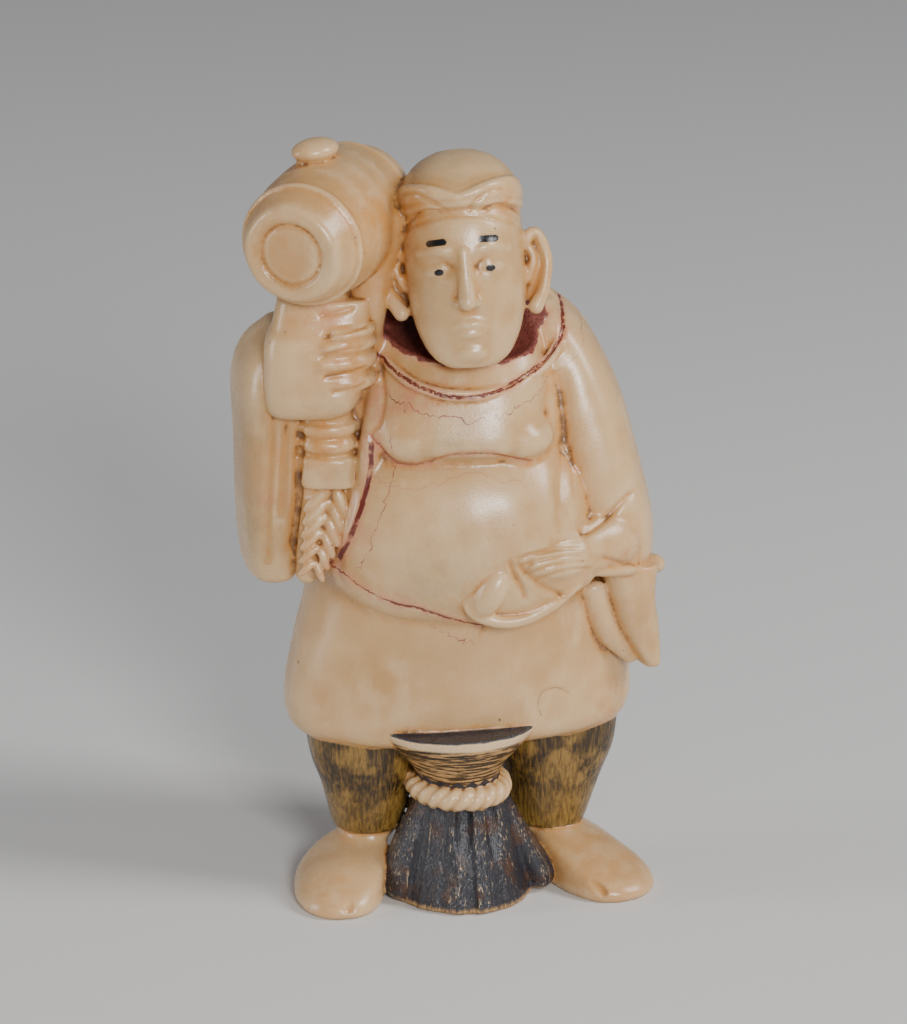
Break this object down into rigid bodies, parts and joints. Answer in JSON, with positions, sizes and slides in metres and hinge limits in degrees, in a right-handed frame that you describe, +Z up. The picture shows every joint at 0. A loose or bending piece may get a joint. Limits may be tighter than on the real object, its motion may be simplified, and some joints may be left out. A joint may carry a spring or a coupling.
{
  "type": "carved ivory figure netsuke",
  "caption": "Small one-piece ivory toggle carved as a stout standing figure with a mallet on one shoulder and a tied sheaf of straw between the feet.",
  "frame": {"origin": "middle of the footprint, on the ground under the soles", "axes": "+Z up, the figure faces -Y, the mallet is on the -X side"},
  "size_m": [0.0274, 0.0176, 0.0503],
  "materials": {
    "ivory": null
  },
  "bodies": {
    "root": {"netsuke": "ivory"}
  },
  "joints": []
}
